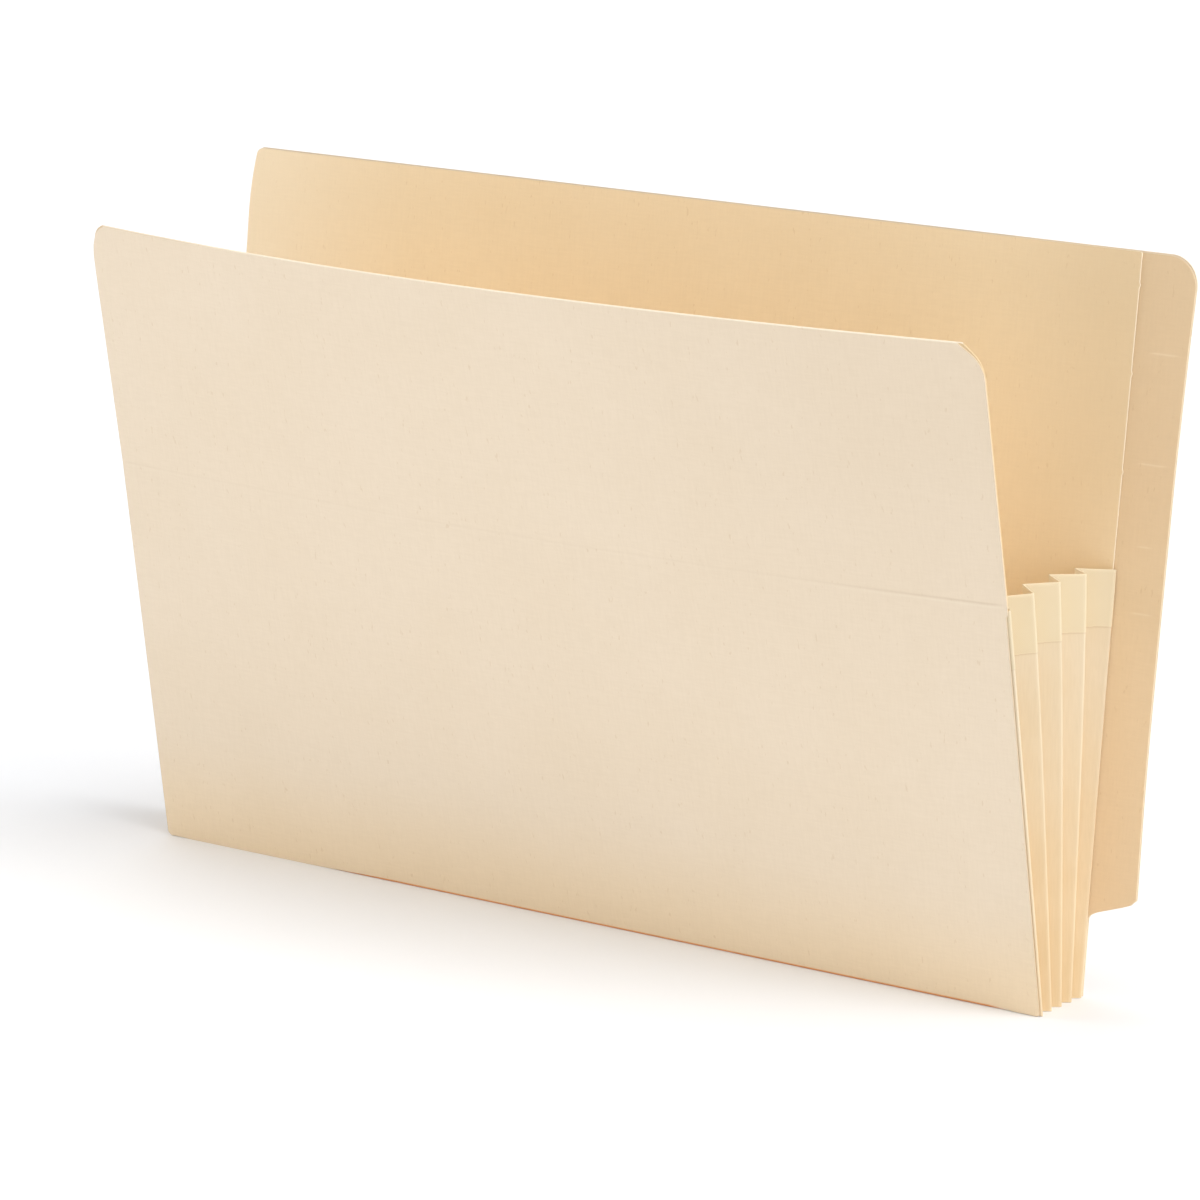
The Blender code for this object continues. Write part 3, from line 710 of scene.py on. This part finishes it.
def cut_right(height, top):
    """Cut right edge of the inner ply: a slanting line with bell-shaped nicks and a small round at the top, which
    goes over to an upright line behind the gusset."""
    nick = sum(bell(height, mark, NICK_WIDTH) for mark in CUT_NICKS)
    edge = CUT_X + CUT_SLOPE * (height - CUT_AT) + NICK_DEPTH * nick - corner_in(height, top, CUT_ROUND)
    return edge + (CUT_LOW - edge) * (1.0 - smooth(height, *CUT_CHANGE))


def back_rows(top, radius, extra=()):
    """Heights of a back ply's rows: close at the foot of the tab, at the round corners and at extra marks."""
    arc = radius * (1.0 - np.sin(np.linspace(0.0, np.pi / 2, 18)))
    marks = [mark + np.linspace(-0.0012, 0.0012, 9) for mark in extra]
    return np.unique(np.round(np.concatenate([
        [0.0, RIM, 0.0008, LEFT_FOOT_CORNER], np.arange(0.004, 0.025, 0.003), np.arange(0.0252, 0.0364, 0.0004),
        np.arange(0.040, top - radius - 0.002, 0.005), top - arc, [top - RIM], *marks]), 6))


class POCKET_OT_back_panel(bpy.types.Operator):
    """Back panel: the inner ply, the sheet behind it that makes the tab, and the ply that stiffens the tab"""

    bl_idname = "pocket.back_panel"
    bl_label = "Back panel and tab"

    def execute(self, context):
        size, paint = context.scene.pocket_sizes, context.scene.pocket_colours
        half_sheet, step = size.sheet / 2, size.ply_step

        top = size.back_height - INNER_DROP
        rows = back_rows(top, INNER_CORNER, CUT_NICKS)
        height = rows[:, None]
        x = across(back_left(rows, top), cut_right(rows, top), INNER_COLUMNS)
        # Worn rims, and painted light that makes the inner ply paler towards the left end.
        wear_and_light = np.maximum(INNER_RIM * rim_of(*x.shape), LEFT_PAINTED_LIGHT * (1.0 - smooth(x, *LEFT_PAINTED_LIGHT_SPAN)))
        # Painted shade towards the tab, less of it low down.
        grown = LOW_SHARE + (1.0 - LOW_SHARE) * smooth(height, *LOW_BAND)
        shade = TAB_SIDE_SHADE * smooth(x, *TAB_SIDE_SPAN) * grown
        grids = [back_point(size, x, height, side * half_sheet) for side in (1.0, -1.0)]
        piece = shell("back_inner_ply_sheet", *grids, card_inside(paint), (wear_and_light, wear_and_light), (shade, 0.0 * shade))
        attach(piece, "back")
        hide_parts("back_inner_ply")

        top = size.back_height - TAB_DROP
        rows = back_rows(top, TAB_ROUND, [tick[0] for tick in TAB_TICKS])
        height = rows[:, None]
        x = across(np.full(len(rows), TAB_LEFT), tab_right(rows, top, TAB_INSET), TAB_COLUMNS)
        mark = sum(
            bell(height, tick, TICK_WIDTH) * smooth(x, a, a + TICK_END) * (1 - smooth(x, b - TICK_END, b))
            for tick, a, b in TAB_TICKS)
        wear_and_light = np.maximum(TAB_RIM * rim_of(*x.shape), TICK_WEAR * mark)
        # Painted shade on the tab, growing with the height, except on the ticks.
        shade = TAB_SHADE * smooth(height, *TAB_SHADE_BAND) * (1.0 - mark)
        grids = [back_point(size, x, height, -step + half_sheet - TICK_DEPTH * mark),
                 back_point(size, x, height, -step - half_sheet)]
        piece = shell("tab_stiffening_sheet", *grids, card_tab(paint), (wear_and_light, wear_and_light), (shade, 0.0 * shade))
        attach(piece, "back")
        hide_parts("tab_stiffening_ply")

        top = size.back_height
        rows = back_rows(top, TAB_ROUND)
        x = across(back_left(rows, top), tab_right(rows, top, 0.0), SHEET_COLUMNS)
        wear_and_light = SHEET_RIM * rim_of(*x.shape)
        grids = [back_point(size, x, rows[:, None], -2 * step + side * half_sheet) for side in (1.0, -1.0)]
        piece = shell("back_outer_sheet", *grids, card_outside(paint), (wear_and_light, wear_and_light))
        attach(piece, "back")
        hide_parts("back_tab_sheet")
        return {"FINISHED"}


# ---------------------------------------------------------------------------------------------- gussets


# How deep the glue flaps lie inside the middle of the front's outer ply and of the back's inner ply, how far out
# their sharp corner is drawn, and how much lower than the corner their top ends. The front leans out less on the
# left (-1), where the corner needs room to close.
FRONT_FLAP_DEPTH, FRONT_FLAP_CORNER = 0.00080, {1.0: 0.0013, -1.0: 0.0004}
REAR_FLAP_DEPTH, REAR_FLAP_CORNER = 0.00040, 0.0004
FLAP_SLOPE = 0.0030


def is_outer(number):
    """Outer folds stand at whole numbers of pleats, inner folds at half numbers."""
    return number == int(number)


def fan_apex(size, side):
    """Point below the floor where all folds of one side meet."""
    return np.array([side * (size.body_width / 2 - size.fold_inset), FAN_BEHIND, -FAN_BELOW]) + FOOT


def fold_line(size, side, number):
    """Direction of a fold from the apex: outer folds stand at whole numbers of pleats from front to back, in the
    plane of the pocket's end; inner folds at half numbers, tilted in until a leaf spans its own angle."""
    step = (size.front_lean + size.back_lean) / PLEATS
    bearing = -size.front_lean + step * number
    tilt = 0.0 if is_outer(number) else np.arccos(cos(size.leaf_turn) / cos(step / 2))
    return np.array([-side * sin(tilt), cos(tilt) * sin(bearing), cos(tilt) * cos(bearing)])


def fold_points(size, side, number, share):
    """Points of a fold: share runs along it from nought on the floor to one at the gusset's top edge. The free
    outer folds sink inwards towards the top with the fourth power of the share."""
    apex, line = fan_apex(size, side), fold_line(size, side, number)
    low, high = (FLOOR_GAP - apex[2]) / line[2], size.fan_low + size.gusset_height
    points = apex + (low + (high - low) * share)[:, None] * line
    if number in range(1, PLEATS):
        points[:, 0] -= side * size.fold_sag * share ** 4
    return points


def fold_frame(size, side, number, share):
    """The three lines that a folded strip follows: the middle of the leaf before the fold (or the glue flap on
    the front panel), the fold itself, and the middle of the leaf after it (or the flap on the back panel)."""
    edge = size.body_width / 2 - size.fold_inset
    here = fold_points(size, side, number, share)
    if number > 0:
        before = 0.5 * (here + fold_points(size, side, number - 0.5, share))
    if number < PLEATS:
        after = 0.5 * (here + fold_points(size, side, number + 0.5, share))
    rise = here[:, 2] - FOOT[2]
    if number == 0:
        height = (rise - FRONT_FLAP_DEPTH * sin(size.front_lean)) / cos(size.front_lean)
        before = front_point(size, side * (edge - size.flap), height - FLAP_SLOPE * share, FRONT_FLAP_DEPTH)
        here = front_point(size, side * (edge + FRONT_FLAP_CORNER[side]), height, FRONT_FLAP_DEPTH)
    if number == PLEATS:
        height = (rise - REAR_FLAP_DEPTH * sin(size.back_lean)) / cos(size.back_lean)
        after = back_point(size, side * (edge - size.flap), height - FLAP_SLOPE * share, REAR_FLAP_DEPTH)
        here = back_point(size, side * (edge + REAR_FLAP_CORNER), height, REAR_FLAP_DEPTH)
    return before, here, after


# Inner fold where the ring of bodies is open, so that its two leaves are separate pieces, and how close the legs of
# its strips come to the arc, where the halves part.
SPLIT_FOLD, SPLIT_NEAR = 1.5, 0.0001
# Radius of a fold's arc: at the panels, at the free outer folds, and at the inner folds.
END_RADIUS, OUTER_RADIUS, INNER_RADIUS = 0.00040, 0.00042, 0.00032
# Word in the names of the nodes that a strip of each kind stands for, and its slot.
STRIPS = {"gusset": ("leaf", "gusset_paper"), "tape": ("tape", "reinforcing_tape")}


def fold_name(number):
    return f"outer_fold_{int(number)}" if is_outer(number) else f"inner_fold_{int(number + 0.5)}"


def fold_radius(number):
    if number in (0, PLEATS):
        return END_RADIUS
    return OUTER_RADIUS if is_outer(number) else INNER_RADIUS


def fold_near(number):
    """How close the legs of a strip come to its arc."""
    return SPLIT_NEAR if number == SPLIT_FOLD else LEG_NEAR


def move_with_fold(piece):
    """Bakes the strip's place into its mesh."""
    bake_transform(piece)


def add_strip(kind, label, number, grids, material, wear_and_light_pairs, shades=None):
    """Piece of a folded strip, which hides the nodes on both sides of its fold that it stands for. At the split fold
    it is two pieces, each attached to its own leaf; the one behind the fold keeps the rounded arc."""
    node_kind, slot = STRIPS[kind]
    leaf = int(2 * number)
    nodes = [f"{label}_gusset_{node_kind}_{n}" for n in (leaf, leaf + 1) if 1 <= n <= 2 * PLEATS]
    if kind == "gusset" and number == 0:
        nodes.append(f"{label}_front_glue_flap")
    if kind == "gusset" and number == PLEATS:
        nodes.append(f"{label}_rear_glue_flap")
    name = f"{label}_{kind}_{fold_name(number)}"
    if number != SPLIT_FOLD:
        piece = shell(name, *grids, material, wear_and_light_pairs, shades)
        move_with_fold(piece)
        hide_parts(*nodes)
        return
    halves = (("front", leaf, nodes[0], slice(0, LEG_COLUMNS)), ("rear", leaf + 1, nodes[1], slice(LEG_COLUMNS, None)))
    for part, body, node, columns in halves:
        face, back = (grid[:, columns] for grid in grids)
        wear_and_light, shade = (pair and [grid[:, columns] for grid in pair] for pair in (wear_and_light_pairs, shades))
        piece = shell(f"{name}_{part}", face, back, material, wear_and_light, shade)
        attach(piece, f"{label}_leaf_{body}")
        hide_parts(node)


# How much less the tape reaches down with each pleat towards the back.
TAPE_TAPER = 0.00027
# Wear of the fold at the front panel and of the other outer folds, and of the leaves' lower and upper edges.
FRONT_FOLD_WEAR, OUTER_FOLD_WEAR, LOWER_EDGE_WEAR, UPPER_EDGE_WEAR = 0.2, 0.1, 0.3, 0.5
# Painted light: how far the papers of the gusset are paler on the side that faces the inside of the pocket.
INSIDE_PAINTED_LIGHT = 0.9
# Shade of the paper just below the tape: its strength, how far below, and its width, as shares of the height.
CONTACT_SHADE, CONTACT_BELOW, CONTACT_WIDTH = 0.8, 0.001, 0.0022
# Gap between the tape and the paper, and wear of the tape over the top edge and at its cut edges.
TAPE_GAP, TAPE_TOP_WEAR, TAPE_CUT_WEAR = 0.00001, 0.12, 0.2


def tape_reach(size, number):
    """How far the tape reaches down at a fold."""
    return size.tape_height - TAPE_TAPER * number


def tape_share(size, number):
    """Share of the gusset's height at which the tape's lower edge lies."""
    return 1.0 - tape_reach(size, number) / size.gusset_height


def gusset_shares(size, number):
    """Shares of the gusset's rows, close at both ends and at the tape's lower edge."""
    tape = tape_share(size, number)
    return np.sort(np.concatenate([
        [0.0, 0.002], np.linspace(0.03, tape - 0.02, 22), tape + np.linspace(-0.008, 0.008, 9),
        np.linspace(tape + 0.03, 0.97, 4), [0.998, 1.0]]))


class POCKET_OT_gussets(bpy.types.Operator):
    """Pleated sides: paper strips that meet in the middles of the leaves, one round each fold"""

    bl_idname = "pocket.gussets"
    bl_label = "Pleated sides"

    def execute(self, context):
        size, paint = context.scene.pocket_sizes, context.scene.pocket_colours
        material = gusset_paper("gusset_kraft_paper", paint.gusset, paint.cut)
        for label, side in SIDES.items():
            for number in np.arange(0.0, PLEATS + 0.5, 0.5):
                self.strip(size, material, label, side, number)
        return {"FINISHED"}

    def strip(self, size, material, label, side, number):
        """One paper strip round a fold. Its outer side faces out of the pocket at an outer fold, and into it at an
        inner fold."""
        share = gusset_shares(size, number)
        lines = fold_frame(size, side, number, share)
        grids = [bend(*lines, fold_radius(number), way * size.leaf / 2, fold_near(number)) for way in (1.0, -1.0)]
        contact = CONTACT_SHADE * bell(share, tape_share(size, number) - CONTACT_BELOW, CONTACT_WIDTH)
        contact = np.broadcast_to(contact[:, None], grids[0].shape[:2])
        worn = FRONT_FOLD_WEAR if number == 0 else OUTER_FOLD_WEAR if is_outer(number) else 0.0
        wear_and_light = np.broadcast_to(fold_arc_mask() * worn, grids[0].shape[:2]).copy()
        wear_and_light[0], wear_and_light[-1] = LOWER_EDGE_WEAR, UPPER_EDGE_WEAR
        # Painted light: the side that faces the inside of the pocket is paler.
        pale = np.maximum(wear_and_light, INSIDE_PAINTED_LIGHT)
        wear_and_light_pairs = (wear_and_light, pale) if is_outer(number) else (pale, wear_and_light)
        add_strip("gusset", label, number, grids, material, wear_and_light_pairs, (contact, contact))


class POCKET_OT_tapes(bpy.types.Operator):
    """Reinforcing tapes: pressed over the top edge of each leaf and down both faces"""

    bl_idname = "pocket.tapes"
    bl_label = "Reinforcing tapes"

    def execute(self, context):
        size, paint = context.scene.pocket_sizes, context.scene.pocket_colours
        material = woven_tape("woven_gusset_tape", paint.tape, paint.cut)
        for label, side in SIDES.items():
            for number in np.arange(0.0, PLEATS + 0.5, 0.5):
                self.strip(size, material, label, side, number)
        return {"FINISHED"}

    def strip(self, size, material, label, side, number):
        """One tape strip round a fold: rows climb the outer side, turn over the top edge on a half circle and go
        down the other side; the same path a tape's thickness further out makes its other face."""
        low = -tape_reach(size, number)
        climb = np.concatenate([[low, low + RIM], np.linspace(low + 0.003, -0.001, 8), [0.0]])
        arc = np.linspace(0.0, np.pi, 7)[1:-1]
        near = size.leaf / 2 + TAPE_GAP
        grids = []
        for out in (near + size.tape, near):
            above = np.concatenate([climb, out * np.sin(arc), climb[::-1]])
            offset = np.concatenate([np.full(len(climb), out), out * np.cos(arc), np.full(len(climb), -out)])
            lines = fold_frame(size, side, number, 1.0 + above / size.gusset_height)
            grids.append(bend(*lines, fold_radius(number), offset[:, None, None], fold_near(number)))
        rows = grids[0].shape[0]
        worn = OUTER_FOLD_WEAR if is_outer(number) else 0.0
        wear_and_light = np.broadcast_to(fold_arc_mask() * worn, grids[0].shape[:2]).copy()
        wear_and_light[len(climb) - 1:rows - len(climb) + 1] = TAPE_TOP_WEAR
        wear_and_light[0], wear_and_light[-1] = TAPE_CUT_WEAR, TAPE_CUT_WEAR
        inside = slice(rows - len(climb), rows) if is_outer(number) else slice(0, len(climb))
        # Painted light: the tape's side that faces the inside of the pocket is paler.
        wear_and_light[inside] = INSIDE_PAINTED_LIGHT
        add_strip("tape", label, number, grids, material, (wear_and_light, wear_and_light))


# ----------------------------------------------------------------------------------------- bottom strip


# Painted shade at the bottom strip's folds, deep orange for light that has passed the folded card again and again: the
# share of the card's own colour that is left there.
BOTTOM_GLOW = (0.84, 0.40, 0.20)
STRIP_COLUMNS = 44
# Heights of the folds at the front panel, at the back panel and of the crest between them.
FRONT_FOLD_Z, REAR_FOLD_Z, CREST_Z = -0.00022, -0.00070, 0.0442
# How deep the strip lies inside the middle of the front's outer ply, at the foot and in its flap, and of the back's
# inner ply. The flaps reach up the panels to this height.
FRONT_FOOT_DEPTH, FRONT_STRIP_DEPTH, REAR_STRIP_DEPTH, STRIP_FLAP = 0.00010, 0.00086, 0.00062, 0.010
# Radii of the three folds, and the spans listed with each fold: towards its panel, towards its leaf, and to both sides
# of the crest.
FRONT_FOLD_RADIUS, CREST_RADIUS, REAR_FOLD_RADIUS = 0.00012, 0.00040, 0.00030
PANEL_SPREAD, STRIP_SPREAD, CREST_SPREAD = 0.00010, 0.00040, 0.0006


class POCKET_OT_bottom_strip(bpy.types.Operator):
    """Bottom strip: card folded up between the feet of the panels, so that the pocket can close flat"""

    bl_idname = "pocket.bottom_strip"
    bl_label = "Bottom strip"

    def execute(self, context):
        size, paint = context.scene.pocket_sizes, context.scene.pocket_colours
        material = manila_card("manila_card_bottom", paint.inside, paint.cut, BOTTOM_GLOW)
        half_sheet = size.sheet / 2
        end = size.body_width / 2 - size.strip_inset
        x = np.linspace(-end, end, STRIP_COLUMNS)
        floor = np.zeros_like(x)
        front_foot = front_point(size, x, floor, FRONT_FOOT_DEPTH)
        front_foot[:, 2] = FRONT_FOLD_Z
        rear_foot = back_point(size, x, floor, REAR_STRIP_DEPTH)
        rear_foot[:, 1] += REAR_FOLD_Z * tan(size.back_lean)
        rear_foot[:, 2] = REAR_FOLD_Z
        crest = 0.5 * (front_foot + rear_foot)
        crest[:, 2] = CREST_Z
        front_middle, rear_middle = 0.5 * (front_foot + crest), 0.5 * (rear_foot + crest)
        front_flap = front_point(size, x, floor + STRIP_FLAP, FRONT_STRIP_DEPTH)
        rear_flap = back_point(size, x, floor + STRIP_FLAP, REAR_STRIP_DEPTH)
        y_front, y_rear, y_crest = front_foot[0, 1], rear_foot[0, 1], crest[0, 1]
        strips = (
            ("bottom_front_fold", (front_flap, front_foot, front_middle), FRONT_FOLD_RADIUS,
             "front_lower", "bottom_front", (y_front - PANEL_SPREAD, y_front + STRIP_SPREAD), ["bottom_front_leaf"]),
            ("bottom_crest_fold", (front_middle, crest, rear_middle), CREST_RADIUS,
             "bottom_front", "bottom_rear", (y_crest - CREST_SPREAD, y_crest + CREST_SPREAD),
             ["bottom_front_leaf", "bottom_rear_leaf"]),
            ("bottom_rear_fold", (rear_middle, rear_foot, rear_flap), REAR_FOLD_RADIUS,
             "bottom_rear", "back", (y_rear - STRIP_SPREAD, y_rear + PANEL_SPREAD), ["bottom_rear_leaf"]),
        )
        for name, lines, radius, body_a, body_b, span, nodes in strips:
            grids = [bend(*lines, radius, half_sheet), bend(*lines, radius, -half_sheet)]
            wear_and_light = np.zeros(grids[0].shape[:2])
            wear_and_light[0], wear_and_light[-1] = 1.0, 1.0
            # Painted shade round the folds of the bottom strip, deep orange for light passed through the folded card.
            shade = np.broadcast_to(fold_arc_mask(), grids[0].shape[:2])
            piece = shell(name, *grids, material, (wear_and_light, wear_and_light), (shade, shade))
            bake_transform(piece)
            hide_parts(*nodes)
        return {"FINISHED"}


# ------------------------------------------------------------------------------------------------ stage


# Point that the camera looks at, from the middle of the pocket's foot.
LOOK_AT = np.array([-0.0011, 0.0, 0.10872])
# Reach of the floor to each side in metres, and the number of its lines each way.
FLOOR_REACH, FLOOR_LINES = 6.0, 7


class POCKET_OT_stage(bpy.types.Operator):
    """Stage: pale floor, soft lamps, sky and the camera at the photograph's angle"""

    bl_idname = "pocket.stage"
    bl_label = "Floor, light and camera"

    def execute(self, context):
        scene, stage = context.scene, context.scene.pocket_stage
        scene.view_settings.view_transform = "Standard"

        # Painted studio floor: plain matt white, a little uneven where the roller left it.
        material, tree, shader, place = start_material("matt_studio_floor")
        cloud = add(tree, "ShaderNodeTexNoise", {"Vector": place, "Scale": 1 / 0.3, "Detail": 2.0})
        base = scene.pocket_colours.floor
        body = add(tree, "ShaderNodeMix", {
            "Factor": cloud.outputs[0], "A": tone(base, (0.995, 0.995, 0.995)), "B": tone(base, (1.0, 1.0, 1.0)),
        }, data_type="RGBA")
        tree.links.new(body.outputs["Result"], shader.inputs["Base Color"])
        shader.inputs["Roughness"].default_value = 0.9
        shader.inputs["Specular IOR Level"].default_value = 0.0
        mesh = bpy.data.meshes.new("studio_floor")
        line = np.linspace(-FLOOR_REACH, FLOOR_REACH, FLOOR_LINES)
        x, y = np.meshgrid(line, line)
        points = np.stack([x, y, np.zeros_like(x)], -1).reshape(-1, 3)
        mesh.from_pydata(points.tolist(), [], grid_faces(FLOOR_LINES, FLOOR_LINES, 0).tolist())
        mesh.materials.append(material)
        floor = bpy.data.objects.new("studio_floor", mesh)
        scene.collection.objects.link(floor)

        world = bpy.data.worlds.new("studio_sky")
        world.use_nodes = True
        scene.world = world
        tree = world.node_tree
        tree.nodes.clear()
        sky = add(tree, "ShaderNodeBackground", {"Color": (1.0, 1.0, 1.0, 1.0), "Strength": stage.ambient})
        white = add(tree, "ShaderNodeBackground", {"Color": (1.0, 1.0, 1.0, 1.0), "Strength": 1.0})
        path = add(tree, "ShaderNodeLightPath")
        clear = add(tree, "ShaderNodeMath", {
            0: path.outputs["Is Glossy Ray"], 1: path.outputs["Is Transmission Ray"]}, operation="MAXIMUM")
        seen = add(tree, "ShaderNodeMath", {
            0: path.outputs["Is Camera Ray"], 1: clear.outputs[0]}, operation="MAXIMUM")
        mixed = add(tree, "ShaderNodeMixShader", {0: seen.outputs[0], 1: sky.outputs[0], 2: white.outputs[0]})
        add(tree, "ShaderNodeOutputWorld", {"Surface": mixed.outputs[0]})

        lamps = (
            ("top_softbox", (0.0, 0.0, 1.0), 60.0, stage.top),
            ("high_right_softbox", (0.8, 0.0, 1.0), 50.0, stage.high_right),
            ("right_softbox", (1.0, 0.0, 0.5), 45.0, stage.right),
            ("left_softbox", (-1.0, -0.35, 0.2), 35.0, stage.left),
            ("front_right_softbox", (0.8, -0.7, 0.1), 35.0, stage.front_right),
            ("rear_softbox", (-0.6, 0.5, 1.0), 45.0, stage.rear),
        )
        for name, towards, spread, strength in lamps:
            lamp = bpy.data.lights.new(name, "SUN")
            lamp.energy = strength
            lamp.angle = radians(spread)
            holder = bpy.data.objects.new(name, lamp)
            holder.rotation_euler = Vector(towards).to_track_quat("Z", "Y").to_euler()
            scene.collection.objects.link(holder)

        away = Vector((
            sin(stage.bearing) * cos(stage.rise), -cos(stage.bearing) * cos(stage.rise), sin(stage.rise)))
        right = (-away).cross(Vector((0.0, 0.0, 1.0))).normalized()
        up = right.cross(-away).normalized()
        rolled_right = right * cos(stage.roll) + up * sin(stage.roll)
        rolled_up = up * cos(stage.roll) - right * sin(stage.roll)
        lens = bpy.data.cameras.new("photo_camera")
        lens.sensor_width = SENSOR
        lens.lens = stage.focal / PHOTO_SIDE * SENSOR
        lens.clip_end = 50.0
        camera = bpy.data.objects.new("photo_camera", lens)
        turned = Matrix((rolled_right, rolled_up, away)).transposed().to_4x4()
        turned.translation = Vector(LOOK_AT + FOOT) + away * stage.distance
        camera.matrix_world = turned
        scene.collection.objects.link(camera)
        scene.camera = camera
        return {"FINISHED"}


class POCKET_PT_panel(bpy.types.Panel):
    """Sizes, colours and steps of the file pocket"""

    bl_idname = "POCKET_PT_panel"
    bl_label = "Expanding file pocket"
    bl_space_type = "VIEW_3D"
    bl_region_type = "UI"
    bl_category = "File pocket"

    def draw(self, context):
        for group in ("pocket_sizes", "pocket_colours", "pocket_stage"):
            box = self.layout.box()
            holder = getattr(context.scene, group)
            for name in holder.__annotations__:
                box.prop(holder, name)
        for step in STEPS:
            self.layout.operator(step.bl_idname)


STEPS = (
    POCKET_OT_front_panel,
    POCKET_OT_back_panel,
    POCKET_OT_gussets,
    POCKET_OT_tapes,
    POCKET_OT_bottom_strip,
    POCKET_OT_stage,
)
GROUPS = {"pocket_sizes": PocketSizes, "pocket_colours": PocketColours, "pocket_stage": PocketStage}


def register():
    for group in GROUPS.values():
        bpy.utils.register_class(group)
    for name, group in GROUPS.items():
        setattr(bpy.types.Scene, name, bpy.props.PointerProperty(type=group))
    for step in STEPS:
        bpy.utils.register_class(step)
    bpy.utils.register_class(POCKET_PT_panel)


def unregister():
    bpy.utils.unregister_class(POCKET_PT_panel)
    for step in reversed(STEPS):
        bpy.utils.unregister_class(step)
    for name in GROUPS:
        delattr(bpy.types.Scene, name)
    for group in reversed(GROUPS.values()):
        bpy.utils.unregister_class(group)


def main():
    register()
    bpy.ops.pocket.front_panel()
    bpy.ops.pocket.back_panel()
    bpy.ops.pocket.gussets()
    bpy.ops.pocket.tapes()
    bpy.ops.pocket.bottom_strip()
    bpy.ops.pocket.stage()
    bpy.context.view_layer.update()


if __name__ == "__main__":
    main()
